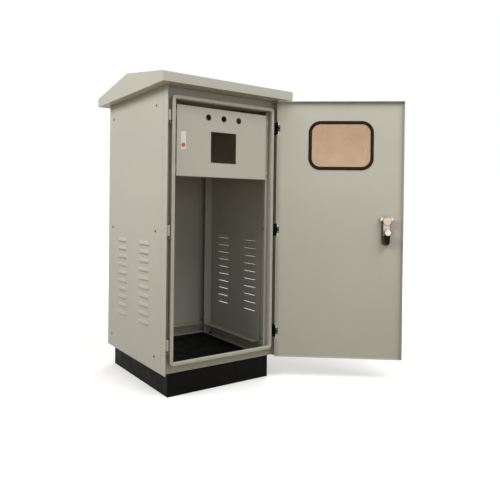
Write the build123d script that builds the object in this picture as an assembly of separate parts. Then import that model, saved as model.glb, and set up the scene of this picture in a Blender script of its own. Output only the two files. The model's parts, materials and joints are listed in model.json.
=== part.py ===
from build123d import *
import os
from math import sqrt

# Outdoor electrical cabinet on a plinth, under a gabled rain canopy, with its door standing open.
# Millimetres, +Z up, front towards -Y, origin on the ground at the centre of the plinth.

# Overall sizes of the body, the box between plinth and canopy
BODY_WIDTH = 600.0
BODY_DEPTH = 620.0
BODY_HEIGHT = 1220.0

# Sheet steel and its folds; the fold radius is that of the sheet's middle
SHEET = 2.0
FOLD_RADIUS = 2.0

# Plinth
PLINTH_HEIGHT = 100.0
PLINTH_INSET = 27.0
PLINTH_SHEET = 3.0
PLINTH_FLANGE = 40.0
FLOOR_SHEET = 2.0
PLINTH_CORNER_RADIUS = 4.0
ANCHOR_HOLE_RADIUS = 7.0
ANCHOR_MARGIN = 20.0
PLINTH_BOLT_MARGIN = 12.0

# Door frame: side bands, recessed gutter and the upstand round the opening
BAND_DEPTH = 40.0
GUTTER_DEPTH = 28.0
GUTTER_SIDE_WIDTH = 24.0
GUTTER_TOP_WIDTH = 38.0
GUTTER_BOTTOM_WIDTH = 36.0
SEAM_GAP = 1.0

# Edge seal clipped on the upstand
SEAL_WIDTH = 16.0
SEAL_DEPTH = 12.0
SEAL_FACE = 4.0
SEAL_CORNER_RADIUS = 18.0
SEAL_EDGE_RADIUS = 3.5

# Inner frame of folded C sections
POST_FLANGE = 50.0
FRONT_POST_DEPTH = 80.0
FRONT_POST_LIP = 15.0
REAR_POST_DEPTH = 60.0
RAIL_HEIGHT = 50.0
RAIL_DEPTH = 50.0
SILL_RAIL_HEIGHT = 26.0

# Pressed louvres of the side panels: each is a slice of a round-ended hood
LOUVRE_LENGTH = 100.0
LOUVRE_HEIGHT = 16.0
LOUVRE_PROUD = 7.0
LOUVRE_PITCH = 39.4
LOUVRES_PER_COLUMN = 10
LOUVRE_FIRST_HEIGHT = 185.0
LOUVRE_FRONT_MARGIN = 169.0
LOUVRE_REAR_MARGIN = 174.0

# Screws that hold the side and rear panels
PANEL_SCREW_FRONT_MARGIN = 59.0
PANEL_SCREW_REAR_MARGIN = 52.0
PANEL_SCREW_TOP_MARGIN = 74.0
PANEL_SCREW_BOTTOM_MARGIN = 61.0
REAR_PANEL_SCREW_MARGIN = 27.0
REAR_PANEL_GAP = 0.5
SCREW_HEAD_RADIUS = 5.0
SCREW_HEAD_HEIGHT = 2.4
SCREW_RADIUS = 2.5
SCREW_GRIP_SPARE = 6.0
SCREW_HOLE_CLEARANCE = 0.3

# Canopy
CANOPY_OVERHANG = 47.0
CANOPY_FASCIA = 41.0
CANOPY_RIDGE_HEIGHT = 100.0
CANOPY_FLANGE_WIDTH = 90.0
CANOPY_FOLD_RADIUS = 4.0
CANOPY_BOLT_MARGIN = 27.0
CANOPY_FLANGE_GAP = 1.0
FRAME_BOLT_SPACING = 400.0

# Hexagon bolts and nuts
BOLT_RADIUS = 4.0
BOLT_HEX = 13.0
BOLT_HEAD_HEIGHT = 5.3
BOLT_NUT_HEIGHT = 6.5
BOLT_SPARE = 5.0
BOLT_HOLE_CLEARANCE = 0.5
THREAD_CLEARANCE = 0.05
STUD_RADIUS = 2.0
STUD_HEX = 7.0
STUD_NUT_HEIGHT = 3.2
STUD_SPARE = 1.5

# Instrument panel
PANEL_POST_GAP = 5.0
PANEL_HEIGHT = 306.0
PANEL_TOP_DROP = 72.0
PANEL_STEP = 5.0
PANEL_RETURN = 20.0
PANEL_EAR_WIDTH = 24.0
PANEL_EAR_HEIGHT = 30.0
PANEL_EAR_MARGIN = 33.0
PILOT_HOLE_RADIUS = 14.0
PILOT_HOLE_PITCH = 82.5
PILOT_HOLE_DROP = 42.0
METER_CUTOUT = 138.0
METER_DROP = 172.0
LABEL_WIDTH = 25.0
LABEL_HEIGHT = 78.0
LABEL_THICKNESS = 0.6
LABEL_MARGIN = 20.0

# Door
DOOR_SHEET = 2.0
DOOR_RETURN = 17.0
DOOR_SIDE_GAP = 2.0
DOOR_END_GAP = 3.0
DOOR_SEAL_GAP = 0.5
DOOR_FOLD_RADIUS = 3.0
DOOR_OPEN_ANGLE = 143.0

# Window in the door
WINDOW_WIDTH = 304.0
WINDOW_OFFSET = 6.0
WINDOW_HEIGHT = 232.0
WINDOW_RADIUS = 56.0
WINDOW_BAND = 15.5
WINDOW_RUBBER_DEPTH = 9.0
WINDOW_RUBBER_EDGE = 2.0
WINDOW_LAP = 5.0
WINDOW_DROP = 207.0
PANE_THICKNESS = 4.0

# Hinges
HINGE_SPACING = 484.0
HINGE_DROP = 5.0
HINGE_HEIGHT = 57.0
HINGE_MIDDLE_HEIGHT = 28.5
HINGE_GAP = 0.25
HINGE_BARREL_RADIUS = 4.0
HINGE_PIN_RADIUS = 2.0
HINGE_PIN_CLEARANCE = 0.05
HINGE_PIN_HEAD_RADIUS = 3.2
HINGE_PIN_HEAD_HEIGHT = 1.2
HINGE_AXIS_INSET = 0.5
HINGE_SIDE_GAP = 0.5
HINGE_LEAF = 2.0
HINGE_LEAF_CLEARANCE = 1.5
HINGE_NOTCH_CLEARANCE = 1.5
HINGE_NOTCH_SPARE = 2.0
FRAME_STUD_SPACING = 40.0
FRAME_STUD_INSET = 16.0
DOOR_LEAF_WIDTH = 12.5
DOOR_STUD_SPACING = 16.0
DOOR_STUD_INSET = 8.0
COVER_WIDTH = 13.0
COVER_SETBACK = 6.0
COVER_CLEARANCE = 1.0
COVER_POCKET_HEIGHT = 12.0
COVER_WALL = 1.5
COVER_EDGE_RADIUS = 1.5

# Lock and handle, placed from the door's free edge and from its bottom
LOCK_MARGIN = 79.0
LOCK_HEIGHT = 597.0
SPINDLE_RADIUS = 6.0
SPINDLE_CLEARANCE = 0.08
LOCK_BASE_WIDTH = 38.0
LOCK_BASE_RISE = 72.0
LOCK_BASE_FALL = 62.0
LOCK_BASE_DEPTH = 16.0
LOCK_BASE_EDGE_RADIUS = 2.0
HOUSING_WIDTH = 29.0
HOUSING_RISE = 66.0
HOUSING_FALL = 16.0
HOUSING_DEPTH = 7.0
HOUSING_COLLAR_RADIUS = 11.0
HOUSING_EDGE_RADIUS = 4.0
HOUSING_CAM_GAP = 0.3
BRIDGE_WIDTH = 60.0
BRIDGE_HEIGHT = 17.0
BRIDGE_RISE = 54.0
BRIDGE_DEPTH = 10.0
BRIDGE_SCREW_SPACING = 46.0
BRIDGE_LUG_RADIUS = 5.0
BRIDGE_BOSS_RADIUS = 17.5
CAM_WIDTH = 26.0
CAM_LENGTH = 56.0
CAM_TIP_RADIUS = 9.0
CAM_THICKNESS = 4.0
CAM_POST_GAP = 1.0
CAM_WASHER_RADIUS = 13.5
CAM_WASHER_HEIGHT = 2.5
SPINDLE_NUT_HEX = 24.0
SPINDLE_NUT_HEIGHT = 9.0
SPINDLE_SPARE = 2.0
ESCUTCHEON_WIDTH = 34.0
ESCUTCHEON_HEIGHT = 128.0
ESCUTCHEON_THICKNESS = 5.0
ESCUTCHEON_RISE = 28.0
ESCUTCHEON_EDGE_RADIUS = 1.5
LEVER_BOSS_RADIUS = 13.0
LEVER_BOSS_HEIGHT = 20.0
LEVER_LENGTH = 112.0
LEVER_WIDTH = 18.0
LEVER_THICKNESS = 10.0
LEVER_EDGE_RADIUS = 2.0
LEVER_GAP = 0.3
KEY_RISE = 46.0
KEY_RADIUS = 6.0
KEY_PROUD = 2.0
KEY_DEPTH = 24.0
KEY_SLOT_WIDTH = 1.6
KEY_SLOT_LENGTH = 8.0
KEY_SLOT_DEPTH = 5.0
LOCK_HOLE_CLEARANCE = 2.0
DOOR_FREE_SIDE = -1

# Planes and edges that several pieces share
SIDE = BODY_WIDTH / 2
FRONT = -BODY_DEPTH / 2
REAR = BODY_DEPTH / 2
INNER_SIDE = SIDE - SHEET
INNER_REAR = REAR - SHEET
BASE = PLINTH_HEIGHT
TOP = BASE + BODY_HEIGHT
INNER_TOP = TOP - SHEET
GUTTER_FRONT = FRONT + GUTTER_DEPTH
GUTTER_BACK = GUTTER_FRONT + SHEET
BAND_BACK = FRONT + BAND_DEPTH
POST_EDGE = INNER_SIDE - POST_FLANGE
PANEL_HALF_WIDTH = POST_EDGE - PANEL_POST_GAP
PANEL_EAR_X = PANEL_HALF_WIDTH + PANEL_EAR_WIDTH * 0.6
POST_FRONT_BACK = GUTTER_BACK + FRONT_POST_DEPTH
POST_REAR_FRONT = INNER_REAR - REAR_POST_DEPTH

# Outline of the seal's middle line, which the upstand follows
SEAL_OUTER_WIDTH = BODY_WIDTH - 2 * GUTTER_SIDE_WIDTH
SEAL_BOTTOM = BASE + GUTTER_BOTTOM_WIDTH
SEAL_TOP = TOP - GUTTER_TOP_WIDTH
SEAL_OUTER_HEIGHT = SEAL_TOP - SEAL_BOTTOM
SEAL_CENTRE_HEIGHT = (SEAL_TOP + SEAL_BOTTOM) / 2
UPSTAND_INSET = (SEAL_WIDTH - SHEET) / 2

CANOPY_HALF_WIDTH = SIDE + CANOPY_OVERHANG
CANOPY_HALF_DEPTH = REAR + CANOPY_OVERHANG

PLINTH_TOP = BASE - FLOOR_SHEET
PLINTH_HALF_WIDTH = SIDE - PLINTH_INSET
PLINTH_HALF_DEPTH = REAR - PLINTH_INSET

# Door planes and hinge axis, with the door shut
DOOR_INNER = FRONT - DOOR_SEAL_GAP
DOOR_OUTER = DOOR_INNER - DOOR_SHEET
DOOR_HALF_WIDTH = INNER_SIDE - DOOR_SIDE_GAP
DOOR_BOTTOM = BASE + DOOR_END_GAP
DOOR_TOP = INNER_TOP - DOOR_END_GAP
HINGE_X = INNER_SIDE - HINGE_SIDE_GAP - HINGE_BARREL_RADIUS
HINGE_Y = DOOR_OUTER + HINGE_AXIS_INSET
HINGE_NOTCH_EDGE = HINGE_X - HINGE_BARREL_RADIUS - HINGE_NOTCH_CLEARANCE
HINGE_MIDDLE = (BASE + TOP) / 2 - HINGE_DROP
HINGE_HEIGHTS = {
    "top": HINGE_MIDDLE + HINGE_SPACING,
    "middle": HINGE_MIDDLE,
    "bottom": HINGE_MIDDLE - HINGE_SPACING,
}
WINDOW_X = DOOR_FREE_SIDE * WINDOW_OFFSET
WINDOW_HEIGHT_CENTRE = DOOR_TOP - WINDOW_DROP
WINDOW_PLANE = (DOOR_INNER + DOOR_OUTER) / 2

LOCK_X = DOOR_FREE_SIDE * (DOOR_HALF_WIDTH - LOCK_MARGIN)
LOCK_Z = DOOR_BOTTOM + LOCK_HEIGHT
CAM_FRONT = GUTTER_BACK + SHEET + CAM_POST_GAP
CAM_BACK = CAM_FRONT + CAM_THICKNESS
HOUSING_BACK = CAM_FRONT - HOUSING_CAM_GAP
LOCK_BASE_BACK = DOOR_INNER + LOCK_BASE_DEPTH
ESCUTCHEON_FRONT = DOOR_OUTER - ESCUTCHEON_THICKNESS


def block(low, high):
    """A box between two opposite corners."""
    size = [b - a for a, b in zip(low, high)]
    return Pos(*low) * Box(*size, align=(Align.MIN, Align.MIN, Align.MIN))


def folded(points, sheet=SHEET):
    """Section of a sheet folded along the middle line through the points."""
    return trace(FilletPolyline(*points, radius=FOLD_RADIUS), line_width=sheet)


def along_x(section, start, end):
    """A section drawn in (Y, Z), run from one X to another."""
    return extrude(Plane.YZ.offset(start) * section, amount=end - start)


def along_y(section, start, end):
    """A section drawn in (X, Z), run from one Y to another."""
    plane = Plane(origin=(0, start, 0), x_dir=(1, 0, 0), z_dir=(0, -1, 0))
    return extrude(plane * section, amount=start - end)


def along_z(section, start, end):
    """A section drawn in (X, Y), run from one Z to another."""
    return extrude(Plane.XY.offset(start) * section, amount=end - start)


def rod_x(radius, x, y, z, length):
    """A round rod along +X from the point."""
    return Pos(x, y, z) * Rot(0, 90, 0) * Cylinder(radius, length, align=(Align.CENTER, Align.CENTER, Align.MIN))


def rod_y(radius, x, y, z, length):
    """A round rod along +Y from the point."""
    return Pos(x, y, z) * Rot(-90, 0, 0) * Cylinder(radius, length, align=(Align.CENTER, Align.CENTER, Align.MIN))


def rod_z(radius, x, y, z, length):
    """A round rod along +Z from the point."""
    return Pos(x, y, z) * Cylinder(radius, length, align=(Align.CENTER, Align.CENTER, Align.MIN))


def hexagon(across):
    """A hexagon section from its width across flats."""
    return RegularPolygon(across / 2, 6, major_radius=False)


def mirrored(shape):
    """The same piece for the other side of the cabinet."""
    return mirror(shape, about=Plane.YZ)


def opened(shape):
    """Turns a piece of the shut door about the hinge axis to where the door stands."""
    return Pos(HINGE_X, HINGE_Y, 0) * Rot(0, 0, DOOR_OPEN_ANGLE) * Pos(-HINGE_X, -HINGE_Y, 0) * shape


def seal_outline(inset):
    """Rounded outline of the opening, set in from the seal's outer edge."""
    width = SEAL_OUTER_WIDTH - 2 * inset
    height = SEAL_OUTER_HEIGHT - 2 * inset
    return Pos(0, SEAL_CENTRE_HEIGHT) * RectangleRounded(width, height, SEAL_CORNER_RADIUS - inset)


def plinth_bolt_places():
    x = PLINTH_HALF_WIDTH - PLINTH_BOLT_MARGIN
    y = FRAME_BOLT_SPACING / 2
    return [(sx * x, sy * y) for sx in (-1, 1) for sy in (-1, 1)]


def canopy_bolt_places():
    x = SIDE - CANOPY_BOLT_MARGIN
    y = FRAME_BOLT_SPACING / 2
    return [(sx * x, sy * y) for sx in (-1, 1) for sy in (-1, 1)]


def side_screw_places():
    """(Y, Z) of the screws in a side panel."""
    front_y = BAND_BACK + SEAM_GAP + PANEL_SCREW_FRONT_MARGIN
    rear_y = REAR - PANEL_SCREW_REAR_MARGIN
    return [(y, z) for y in (front_y, rear_y) for z in panel_screw_heights()]


def rear_screw_places():
    """(X, Z) of the screws in the rear panel."""
    x = SIDE - REAR_PANEL_SCREW_MARGIN
    return [(sx * x, z) for sx in (-1, 1) for z in panel_screw_heights()]


def panel_screw_heights():
    low = BASE + PANEL_SCREW_BOTTOM_MARGIN
    high = TOP - PANEL_SCREW_TOP_MARGIN
    return (low, (low + high) / 2, high)


def make_plinth():
    """Folded channel frame, open to the inside, with anchor and frame bolt holes in its flanges."""
    outline = RectangleRounded(2 * PLINTH_HALF_WIDTH, 2 * PLINTH_HALF_DEPTH, PLINTH_CORNER_RADIUS)
    hollow = Rectangle(2 * (PLINTH_HALF_WIDTH - PLINTH_SHEET), 2 * (PLINTH_HALF_DEPTH - PLINTH_SHEET))
    throat = Rectangle(2 * (PLINTH_HALF_WIDTH - PLINTH_FLANGE), 2 * (PLINTH_HALF_DEPTH - PLINTH_FLANGE))
    plinth = along_z(outline, 0, PLINTH_TOP)
    plinth -= along_z(hollow, PLINTH_SHEET, PLINTH_TOP - PLINTH_SHEET)
    plinth -= along_z(throat, 0, PLINTH_TOP)
    for sx in (-1, 1):
        for sy in (-1, 1):
            x = sx * (PLINTH_HALF_WIDTH - ANCHOR_MARGIN)
            y = sy * (PLINTH_HALF_DEPTH - ANCHOR_MARGIN)
            plinth -= rod_z(ANCHOR_HOLE_RADIUS, x, y, 0, PLINTH_SHEET)
    for x, y in plinth_bolt_places():
        plinth -= rod_z(BOLT_RADIUS + BOLT_HOLE_CLEARANCE, x, y, PLINTH_TOP - PLINTH_SHEET, PLINTH_SHEET)
    return plinth


def make_floor_plate():
    """Floor sheet between the plinth and the body, held by the same bolts."""
    outline = RectangleRounded(2 * PLINTH_HALF_WIDTH, 2 * PLINTH_HALF_DEPTH, PLINTH_CORNER_RADIUS)
    plate = along_z(outline, PLINTH_TOP, BASE)
    for x, y in plinth_bolt_places():
        plate -= rod_z(BOLT_RADIUS + BOLT_HOLE_CLEARANCE, x, y, PLINTH_TOP, FLOOR_SHEET)
    return plate


def hex_bolt(x, y, seat, grip):
    """Bolt with its head under the seat; the shank reaches past the grip and the nut."""
    shank = grip + BOLT_NUT_HEIGHT + BOLT_SPARE
    head = along_z(Pos(x, y) * hexagon(BOLT_HEX), seat - BOLT_HEAD_HEIGHT, seat)
    return head + rod_z(BOLT_RADIUS, x, y, seat, shank)


def hex_nut(x, y, seat):
    nut = along_z(Pos(x, y) * hexagon(BOLT_HEX), seat, seat + BOLT_NUT_HEIGHT)
    return nut - rod_z(BOLT_RADIUS + THREAD_CLEARANCE, x, y, seat, BOLT_NUT_HEIGHT)


def make_plinth_bolts():
    grip = PLINTH_SHEET + FLOOR_SHEET + SHEET
    return [hex_bolt(x, y, PLINTH_TOP - PLINTH_SHEET, grip) for x, y in plinth_bolt_places()]


def make_plinth_nuts():
    return [hex_nut(x, y, BASE + SHEET) for x, y in plinth_bolt_places()]


def make_canopy_bolts():
    grip = 3 * SHEET
    return [hex_bolt(x, y, INNER_TOP - SHEET, grip) for x, y in canopy_bolt_places()]


def make_canopy_nuts():
    return [hex_nut(x, y, TOP + SHEET) for x, y in canopy_bolt_places()]


def make_front_post():
    """Right front post: wide web on the side, flange behind the gutter, short rear lip."""
    web = INNER_SIDE - SHEET / 2
    front = GUTTER_BACK + SHEET / 2
    back = POST_FRONT_BACK - SHEET / 2
    points = [(POST_EDGE, front), (web, front), (web, back), (INNER_SIDE - FRONT_POST_LIP, back)]
    post = along_z(folded(points), BASE, INNER_TOP)
    screw_y = BAND_BACK + SEAM_GAP + PANEL_SCREW_FRONT_MARGIN
    for z in panel_screw_heights():
        post -= rod_x(SCREW_RADIUS + SCREW_HOLE_CLEARANCE, INNER_SIDE - SHEET, screw_y, z, SHEET)
    for z in panel_ear_heights():
        post -= rod_y(SCREW_RADIUS + SCREW_HOLE_CLEARANCE, PANEL_EAR_X, GUTTER_BACK, z, SHEET)
    return post


def make_rear_post():
    """Right rear post: web on the side, flanges to the front and on the rear panel."""
    web = INNER_SIDE - SHEET / 2
    front = POST_REAR_FRONT + SHEET / 2
    back = INNER_REAR - SHEET / 2
    points = [(POST_EDGE, front), (web, front), (web, back), (POST_EDGE, back)]
    post = along_z(folded(points), BASE, INNER_TOP)
    for z in panel_screw_heights():
        post -= rod_x(SCREW_RADIUS + SCREW_HOLE_CLEARANCE, INNER_SIDE - SHEET, REAR - PANEL_SCREW_REAR_MARGIN, z, SHEET)
        post -= rod_y(SCREW_RADIUS + SCREW_HOLE_CLEARANCE, SIDE - REAR_PANEL_SCREW_MARGIN, INNER_REAR - SHEET, z, SHEET)
    return post


def channel(web, edge, low, height=RAIL_HEIGHT):
    """C section of a rail in (across, Z): its web at one side, its flanges running to the edge."""
    sign = 1 if web > edge else -1
    middle = web - sign * SHEET / 2
    bottom = low + SHEET / 2
    top = low + height - SHEET / 2
    return folded([(edge, bottom), (middle, bottom), (middle, top), (edge, top)])


def make_side_rail(low):
    """Right-hand rail between the posts, drilled for the bolts of the plinth or the canopy."""
    rail = along_y(channel(INNER_SIDE, POST_EDGE, low), POST_FRONT_BACK, POST_REAR_FRONT)
    places = plinth_bolt_places() if low == BASE else canopy_bolt_places()
    hole_z = low if low == BASE else low + RAIL_HEIGHT - SHEET
    for x, y in places:
        if x > 0:
            rail -= rod_z(BOLT_RADIUS + BOLT_HOLE_CLEARANCE, x, y, hole_z, SHEET)
    return rail


def make_front_rail(low, height):
    return along_x(channel(GUTTER_BACK, GUTTER_BACK + RAIL_DEPTH, low, height), -POST_EDGE, POST_EDGE)


def make_rear_rail(low):
    return along_x(channel(INNER_REAR, INNER_REAR - RAIL_DEPTH, low), -POST_EDGE, POST_EDGE)


def make_door_frame():
    """Side bands, gutter floor and upstand welded into one frame, with studs for the hinges."""
    floor = Pos(0, (BASE + INNER_TOP) / 2) * Rectangle(2 * INNER_SIDE, INNER_TOP - BASE)
    opening = seal_outline(UPSTAND_INSET + SHEET)
    frame = along_y(floor - opening, GUTTER_FRONT, GUTTER_BACK)
    frame += along_y(seal_outline(UPSTAND_INSET) - opening, FRONT + SEAL_FACE, GUTTER_BACK)
    for sx in (-1, 1):
        frame += block((min(sx * SIDE, sx * INNER_SIDE), FRONT, BASE),
                       (max(sx * SIDE, sx * INNER_SIDE), BAND_BACK, INNER_TOP))
    length = HINGE_LEAF + STUD_NUT_HEIGHT + STUD_SPARE
    for z in HINGE_HEIGHTS.values():
        for dz in (-FRAME_STUD_SPACING / 2, FRAME_STUD_SPACING / 2):
            frame += rod_x(STUD_RADIUS, INNER_SIDE - length, HINGE_Y + FRAME_STUD_INSET, z + dz, length)
    return frame


def make_frame_seal():
    """Rubber edge strip with a rounded face, slotted from behind over the upstand."""
    ring = seal_outline(0) - seal_outline(SEAL_WIDTH)
    seal = along_y(ring, FRONT, FRONT + SEAL_DEPTH)
    seal = fillet(seal.faces().sort_by(Axis.Y)[0].edges(), SEAL_EDGE_RADIUS)
    slot = seal_outline(UPSTAND_INSET) - seal_outline(UPSTAND_INSET + SHEET)
    return seal - along_y(slot, FRONT + SEAL_FACE, FRONT + SEAL_DEPTH)


def louvre_places():
    """(Y, Z) of the middle of each louvre's lower edge."""
    front_y = BAND_BACK + SEAM_GAP + LOUVRE_FRONT_MARGIN
    rear_y = REAR - LOUVRE_REAR_MARGIN
    heights = [BASE + LOUVRE_FIRST_HEIGHT + i * LOUVRE_PITCH for i in range(LOUVRES_PER_COLUMN)]
    return [(y, z) for y in (front_y, rear_y) for z in heights]


def round_ended(radius, length):
    """A cylinder along Y with spherical ends, its middle on the origin."""
    body = Rot(90, 0, 0) * Cylinder(radius, length)
    return body + Pos(0, -length / 2, 0) * Sphere(radius) + Pos(0, length / 2, 0) * Sphere(radius)


def make_louvre():
    """Hood and punch of one louvre whose lower edge is at the origin of the sheet's outer face."""
    depth = (LOUVRE_HEIGHT ** 2 - LOUVRE_PROUD ** 2) / (2 * LOUVRE_PROUD)
    radius = depth + LOUVRE_PROUD
    straight = LOUVRE_LENGTH - 2 * LOUVRE_HEIGHT
    reach = radius + LOUVRE_LENGTH
    upper = block((-SHEET, -reach, 0), (reach, reach, reach))
    outside = block((0, -reach, 0), (reach, reach, reach))
    punch = Pos(-depth, 0, 0) * round_ended(radius - SHEET, straight) & upper
    hood = (Pos(-depth, 0, 0) * round_ended(radius, straight) & outside) - punch
    return hood, punch


def make_side_panel():
    """Right side panel with its louvres."""
    panel = block((INNER_SIDE, BAND_BACK + SEAM_GAP, BASE), (SIDE, REAR, INNER_TOP))
    hood, punch = make_louvre()
    punches = [Pos(SIDE, y, z) * punch for y, z in louvre_places()]
    hoods = [Pos(SIDE, y, z) * hood for y, z in louvre_places()]
    holes = [rod_x(SCREW_RADIUS + SCREW_HOLE_CLEARANCE, INNER_SIDE, y, z, SHEET) for y, z in side_screw_places()]
    return panel - punches - holes + hoods


def make_rear_panel():
    edge = INNER_SIDE - REAR_PANEL_GAP
    panel = block((-edge, INNER_REAR, BASE), (edge, REAR, INNER_TOP))
    for x, z in rear_screw_places():
        panel -= rod_y(SCREW_RADIUS + SCREW_HOLE_CLEARANCE, x, INNER_REAR, z, SHEET)
    return panel


def pan_screw():
    """Pan-head screw along +Z with the underside of its head at the origin, for two sheets."""
    head = extrude(Circle(SCREW_HEAD_RADIUS), amount=-SCREW_HEAD_HEIGHT)
    head = chamfer(head.faces().sort_by(Axis.Z)[0].edges(), SCREW_HEAD_HEIGHT / 2)
    return head + rod_z(SCREW_RADIUS, 0, 0, 0, 2 * SHEET + SCREW_GRIP_SPARE)


def make_panel_screws():
    screw = pan_screw()
    pieces = []
    for y, z in side_screw_places():
        pieces.append(Pos(SIDE, y, z) * Rot(0, -90, 0) * screw)
        pieces.append(Pos(-SIDE, y, z) * Rot(0, 90, 0) * screw)
    for x, z in rear_screw_places():
        pieces.append(Pos(x, REAR, z) * Rot(90, 0, 0) * screw)
    return pieces


def make_roof_panel():
    panel = block((-SIDE, FRONT, INNER_TOP), (SIDE, REAR, TOP))
    for x, y in canopy_bolt_places():
        panel -= rod_z(BOLT_RADIUS + BOLT_HOLE_CLEARANCE, x, y, INNER_TOP, SHEET)
    return panel


def gable(inset):
    """Canopy section in (Y, Z), set in by a thickness on its roof and fascias."""
    half = CANOPY_HALF_DEPTH - inset
    slope = (CANOPY_RIDGE_HEIGHT - CANOPY_FASCIA) / CANOPY_HALF_DEPTH
    drop = inset * sqrt(1 + slope ** 2)
    ridge = TOP + CANOPY_RIDGE_HEIGHT - drop
    eave = ridge - slope * half
    outline = Polyline((-half, TOP + inset), (-half, eave), (0, ridge), (half, eave), (half, TOP + inset), close=True)
    section = make_face(outline)
    corners = [v for v in section.vertices() if v.Y > TOP + inset + CANOPY_FOLD_RADIUS]
    return fillet(corners, CANOPY_FOLD_RADIUS - inset)


def make_canopy():
    """Gabled canopy sheet: roof, both fascias and their flanges, folded from one sheet between the ends."""
    half_width = CANOPY_HALF_WIDTH - SHEET
    canopy = along_x(gable(0) - gable(SHEET), -half_width, half_width)
    throat = Rectangle(2 * half_width, 2 * (CANOPY_HALF_DEPTH - CANOPY_FLANGE_WIDTH))
    return canopy - along_z(throat, TOP, TOP + SHEET)


def make_canopy_end():
    """Gable end of the canopy with the bottom flange that is bolted to the roof panel."""
    seam = CANOPY_HALF_WIDTH - SHEET
    reach = CANOPY_HALF_DEPTH - CANOPY_FLANGE_WIDTH - CANOPY_FLANGE_GAP
    end = along_x(gable(0), seam, CANOPY_HALF_WIDTH)
    end += block((CANOPY_HALF_WIDTH - CANOPY_FLANGE_WIDTH, -reach, TOP), (seam, reach, TOP + SHEET))
    for x, y in canopy_bolt_places():
        if x > 0:
            end -= rod_z(BOLT_RADIUS + BOLT_HOLE_CLEARANCE, x, y, TOP, SHEET)
    return end


def panel_ear_heights():
    top = TOP - PANEL_TOP_DROP
    return (top - PANEL_HEIGHT + PANEL_EAR_MARGIN, top - PANEL_EAR_MARGIN)


def make_instrument_panel():
    """Tray with returned top and bottom, side returns that fold out into four fixing ears."""
    half = PANEL_HALF_WIDTH
    top = TOP - PANEL_TOP_DROP
    bottom = top - PANEL_HEIGHT
    face = GUTTER_FRONT - PANEL_STEP
    section = folded([(face + PANEL_RETURN, bottom + SHEET / 2), (face + SHEET / 2, bottom + SHEET / 2),
                      (face + SHEET / 2, top - SHEET / 2), (face + PANEL_RETURN, top - SHEET / 2)])
    panel = along_x(section, -half, half)
    for sx in (-1, 1):
        wall = sx * (half - SHEET / 2)
        ear = sx * (half + PANEL_EAR_WIDTH)
        ear_plane = GUTTER_BACK - SHEET / 2
        fold = folded([(wall, face), (wall, ear_plane), (ear, ear_plane)])
        panel += block((wall - SHEET / 2, face, bottom), (wall + SHEET / 2, GUTTER_FRONT, top))
        for z in panel_ear_heights():
            panel += along_z(fold, z - PANEL_EAR_HEIGHT / 2, z + PANEL_EAR_HEIGHT / 2)
            panel -= rod_y(SCREW_RADIUS + SCREW_HOLE_CLEARANCE, sx * PANEL_EAR_X, GUTTER_FRONT, z, SHEET)
    for i in (-1, 0, 1):
        panel -= rod_y(PILOT_HOLE_RADIUS, i * PILOT_HOLE_PITCH, face, top - PILOT_HOLE_DROP, SHEET)
    cut = Pos(0, top - METER_DROP) * Rectangle(METER_CUTOUT, METER_CUTOUT)
    return panel - along_y(cut, face, face + SHEET)


def make_instrument_panel_screws():
    screw = pan_screw()
    return [Pos(sx * PANEL_EAR_X, GUTTER_FRONT, z) * Rot(-90, 0, 0) * screw
            for sx in (-1, 1) for z in panel_ear_heights()]


def make_panel_label():
    face = GUTTER_FRONT - PANEL_STEP
    x = -PANEL_HALF_WIDTH + LABEL_MARGIN
    z = TOP - PANEL_TOP_DROP - PANEL_HEIGHT / 2
    return block((x, face - LABEL_THICKNESS, z - LABEL_HEIGHT / 2), (x + LABEL_WIDTH, face, z + LABEL_HEIGHT / 2))


def make_hinge_cover(height):
    """Cover of the unused hinge pocket, beside the shut door's return: a block with an open slot at its foot."""
    front = FRONT + COVER_SETBACK
    back = GUTTER_FRONT
    left = -DOOR_HALF_WIDTH + DOOR_SHEET + COVER_CLEARANCE
    right = left + COVER_WIDTH
    low = height - HINGE_HEIGHT / 2
    cover = block((left, front, low), (right, back, height + HINGE_HEIGHT / 2))
    cover = fillet(cover.faces().sort_by(Axis.Y)[0].edges(), COVER_EDGE_RADIUS)
    return cover - block((left + COVER_WALL, front, low + COVER_WALL),
                         (right - COVER_WALL, back - COVER_WALL, low + COVER_POCKET_HEIGHT))


def barrel_length():
    """Height of each of the two frame barrels, above and below the door's own."""
    return (HINGE_HEIGHT - HINGE_MIDDLE_HEIGHT) / 2 - HINGE_GAP


def make_frame_leaf(height):
    """Leaf inside the side band, with barrels at its ends and a relief for the door's barrel."""
    low = height - HINGE_HEIGHT / 2
    high = height + HINGE_HEIGHT / 2
    face = INNER_SIDE - HINGE_LEAF
    leaf = block((face, HINGE_Y, low), (INNER_SIDE, GUTTER_FRONT - HINGE_LEAF_CLEARANCE, high))
    for start in (low, high - barrel_length()):
        leaf += rod_z(HINGE_BARREL_RADIUS, HINGE_X, HINGE_Y, start, barrel_length())
    relief = HINGE_MIDDLE_HEIGHT / 2 + HINGE_GAP
    relief_back = HINGE_Y + HINGE_BARREL_RADIUS + HINGE_LEAF_CLEARANCE
    leaf -= block((face, HINGE_Y, height - relief), (INNER_SIDE, relief_back, height + relief))
    leaf -= rod_z(HINGE_PIN_RADIUS + HINGE_PIN_CLEARANCE, HINGE_X, HINGE_Y, low, HINGE_HEIGHT)
    for dz in (-FRAME_STUD_SPACING / 2, FRAME_STUD_SPACING / 2):
        leaf -= rod_x(STUD_RADIUS + THREAD_CLEARANCE, face, HINGE_Y + FRAME_STUD_INSET, height + dz, HINGE_LEAF)
    return leaf


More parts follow.
